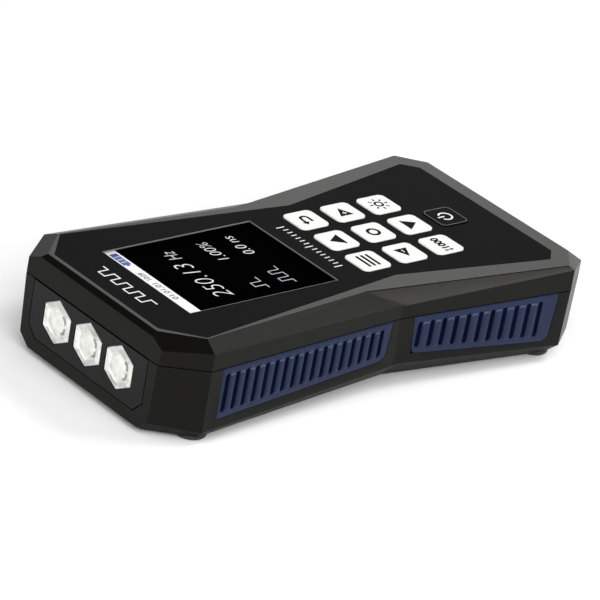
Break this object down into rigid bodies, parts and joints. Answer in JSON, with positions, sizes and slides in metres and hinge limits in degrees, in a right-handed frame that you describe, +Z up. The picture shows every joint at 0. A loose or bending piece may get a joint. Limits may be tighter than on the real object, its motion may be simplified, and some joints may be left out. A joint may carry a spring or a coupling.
{
  "type": "handheld LED stroboscope",
  "caption": "Handheld LED stroboscope with a colour display, a keypad, hexagonal lamps in its front end and ribbed side grips.",
  "frame": {"origin": "centre of the case's box, on the plane that the feet stand on", "axes": "+Y towards the lamp end, +Z up out of the display, +X to the user's right when the display is read with the lamps pointing away"},
  "size_m": [0.087, 0.165, 0.0335],
  "materials": {
    "case_plastic": "fine spark-eroded texture",
    "film": "printed polyester film, satin",
    "window": "clear acrylic",
    "display": "dark liquid-crystal face",
    "moulding": "plain moulded",
    "key_white": "satin",
    "key_dark": "satin",
    "mat": "moulded silicone",
    "board": "solder mask",
    "chip": "moulded epoxy",
    "capacitor": "sleeved can",
    "steel": "zinc plated",
    "lens": "frosted clear acrylic",
    "led_core": "bare",
    "emitter": "phosphor under silicone",
    "grip": "moulded, ribbed",
    "foot": "moulded",
    "label": "blank silver film",
    "brass": "turned",
    "cell_wrap": "shrink sleeve",
    "lead": "insulated wire",
    "jack": "moulded"
  },
  "bodies": {
    "case": {"top_shell": "case_plastic", "bottom_shell": "case_plastic", "lamp_panel": "case_plastic", "fascia_film": "film", "display_window": "window", "display_module": "display", "display_frame": "moulding", "battery_tray": "moulding", "lamp_header": "moulding", "keypad_mat": "mat", "main_board": "board", "socket_board": "board", "board_chips": "chip", "lamp_capacitors": "capacitor", "board_screws": "steel", "case_screws": "steel", "sink_screws": "steel", "socket_screws": "steel", "usb_socket": "steel", "lens_left": "lens", "lens_centre": "lens", "lens_right": "lens", "led_board": "led_core", "heat_sink": "led_core", "led_emitters": "emitter", "grip_front_left": "grip", "grip_front_right": "grip", "grip_rear_left": "grip", "grip_rear_right": "grip", "foot_front_left": "foot", "foot_front_right": "foot", "foot_rear_left": "foot", "foot_rear_right": "foot", "rating_label": "label", "tripod_insert": "brass", "battery_cells": "cell_wrap", "battery_leads": "lead", "trigger_jack": "jack"},
    "key_menu": {"key_menu": "key_white"},
    "key_up": {"key_up": "key_white"},
    "key_back": {"key_back": "key_white"},
    "key_left": {"key_left": "key_white"},
    "key_ok": {"key_ok": "key_white"},
    "key_right": {"key_right": "key_white"},
    "key_scale": {"key_scale": "key_white"},
    "key_down": {"key_down": "key_white"},
    "key_lamp": {"key_lamp": "key_white"},
    "key_power": {"key_power": "key_dark"}
  },
  "joints": [
    {"name": "key_menu_press", "type": "slide", "parent": "case", "child": "key_menu", "axis": [0, 0, -1], "range_m": [0, 0.0004], "stiffness_N_per_m": 400},
    {"name": "key_up_press", "type": "slide", "parent": "case", "child": "key_up", "axis": [0, 0, -1], "range_m": [0, 0.0004], "stiffness_N_per_m": 400},
    {"name": "key_back_press", "type": "slide", "parent": "case", "child": "key_back", "axis": [0, 0, -1], "range_m": [0, 0.0004], "stiffness_N_per_m": 400},
    {"name": "key_left_press", "type": "slide", "parent": "case", "child": "key_left", "axis": [0, 0, -1], "range_m": [0, 0.0004], "stiffness_N_per_m": 400},
    {"name": "key_ok_press", "type": "slide", "parent": "case", "child": "key_ok", "axis": [0, 0, -1], "range_m": [0, 0.0004], "stiffness_N_per_m": 400},
    {"name": "key_right_press", "type": "slide", "parent": "case", "child": "key_right", "axis": [0, 0, -1], "range_m": [0, 0.0004], "stiffness_N_per_m": 400},
    {"name": "key_scale_press", "type": "slide", "parent": "case", "child": "key_scale", "axis": [0, 0, -1], "range_m": [0, 0.0004], "stiffness_N_per_m": 400},
    {"name": "key_down_press", "type": "slide", "parent": "case", "child": "key_down", "axis": [0, 0, -1], "range_m": [0, 0.0004], "stiffness_N_per_m": 400},
    {"name": "key_lamp_press", "type": "slide", "parent": "case", "child": "key_lamp", "axis": [0, 0, -1], "range_m": [0, 0.0004], "stiffness_N_per_m": 400},
    {"name": "key_power_press", "type": "slide", "parent": "case", "child": "key_power", "axis": [0, 0, -1], "range_m": [0, 0.0004], "stiffness_N_per_m": 400}
  ]
}
